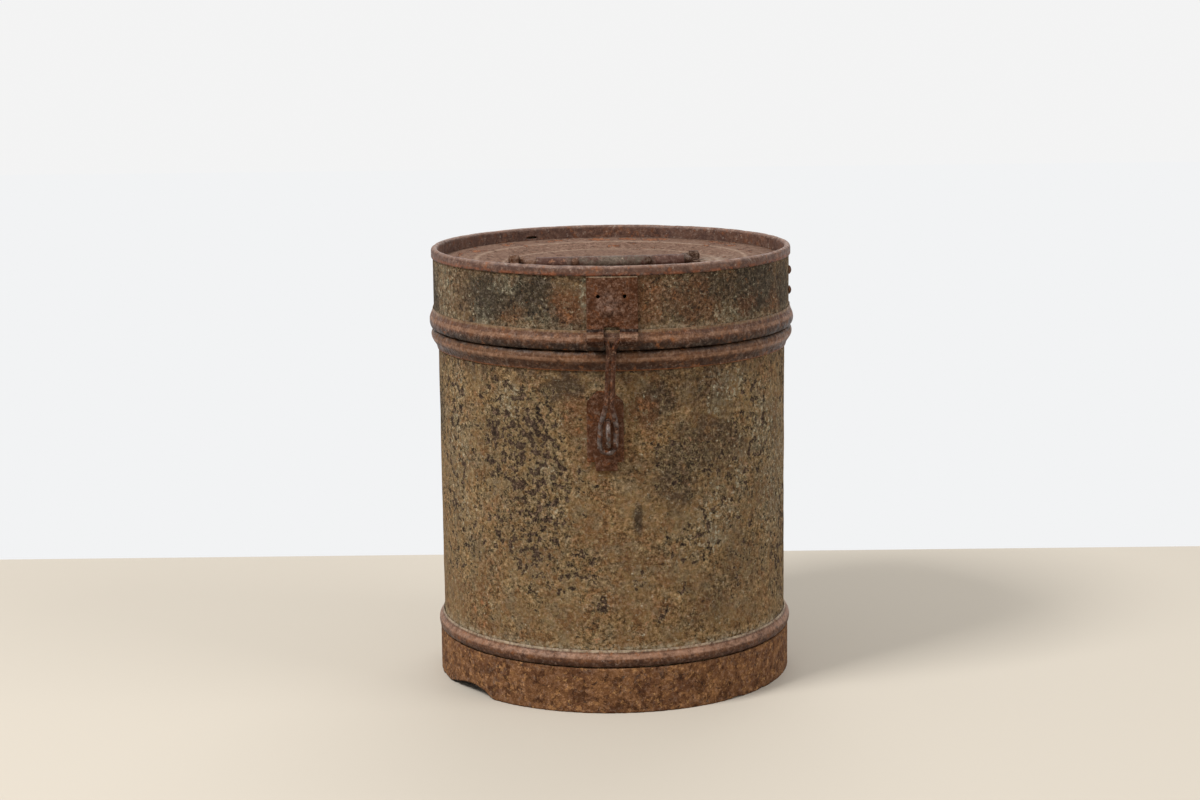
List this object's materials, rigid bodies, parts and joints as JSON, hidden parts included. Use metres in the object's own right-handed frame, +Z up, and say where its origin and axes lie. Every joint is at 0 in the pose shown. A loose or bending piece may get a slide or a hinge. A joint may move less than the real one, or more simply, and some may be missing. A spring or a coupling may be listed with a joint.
{
  "type": "rusty iron barrel with a hinged lid",
  "caption": "Small round rusted sheet-iron barrel with half-round hoops, a hinged lid, a wire hasp over a staple and a folding handle on the sunken top.",
  "frame": {"origin": "on the barrel's axis, on the plane that the foot band rests on", "axes": "+Z up along the barrel's axis, front with the hasp towards -Y, hinge towards +Y"},
  "size_m": [0.2414, 0.2604, 0.2857],
  "materials": {
    "painted_sheet": "rusted olive-brown sheet iron, mottled and flaking, matte",
    "hoop_iron": "dark red-brown oxide with a soft sheen",
    "foot_iron": "rough brown rust with orange specks",
    "fitting_iron": "dark red-brown oxide, orange rust in the corners",
    "worn_wire": "brown iron wire, rubbed blue-grey",
    "lid_sheet": "dusty pinkish-brown oxide, matte",
    "grip_sheet": "grey-brown rolled sheet, rubbed"
  },
  "bodies": {
    "barrel": {"body_shell": "painted_sheet", "body_hoop": "hoop_iron", "base_hoop": "hoop_iron", "foot_band": "foot_iron", "base_plate": "foot_iron", "staple_plate": "fitting_iron", "staple": "worn_wire", "staple_plate_rivet": "fitting_iron", "hinge_body_leaf": "fitting_iron", "hinge_body_rivets": "fitting_iron", "hinge_pin": "worn_wire"},
    "lid": {"lid_skirt": "painted_sheet", "lid_hoop": "hoop_iron", "lid_top": "lid_sheet", "lid_seam_rivets": "fitting_iron", "hasp_plate": "fitting_iron", "hasp_rivet": "fitting_iron", "hinge_lid_leaf": "fitting_iron", "hinge_lid_rivets": "fitting_iron", "handle_saddle_left": "fitting_iron", "handle_saddle_right": "fitting_iron", "handle_saddle_rivets": "fitting_iron"},
    "hasp": {"hasp_loop": "worn_wire"},
    "handle": {"handle_bail": "fitting_iron", "handle_grip": "grip_sheet", "handle_grip_rivets": "fitting_iron"}
  },
  "joints": [
    {"name": "lid_hinge", "type": "hinge", "parent": "barrel", "child": "lid", "pos_m": [0, 0.1245, 0.233], "axis": [-1, 0, 0], "range_deg": [0, 180]},
    {"name": "hasp_swing", "type": "hinge", "parent": "lid", "child": "hasp", "pos_m": [-0.0005, -0.12449, 0.2411], "axis": [-1, 0, 0], "range_deg": [0, 180]},
    {"name": "handle_fold", "type": "hinge", "parent": "lid", "child": "handle", "pos_m": [-0.0042, -0.0022, 0.27635], "axis": [-0.9945, -0.1045, 0], "range_deg": [0, 174]}
  ]
}
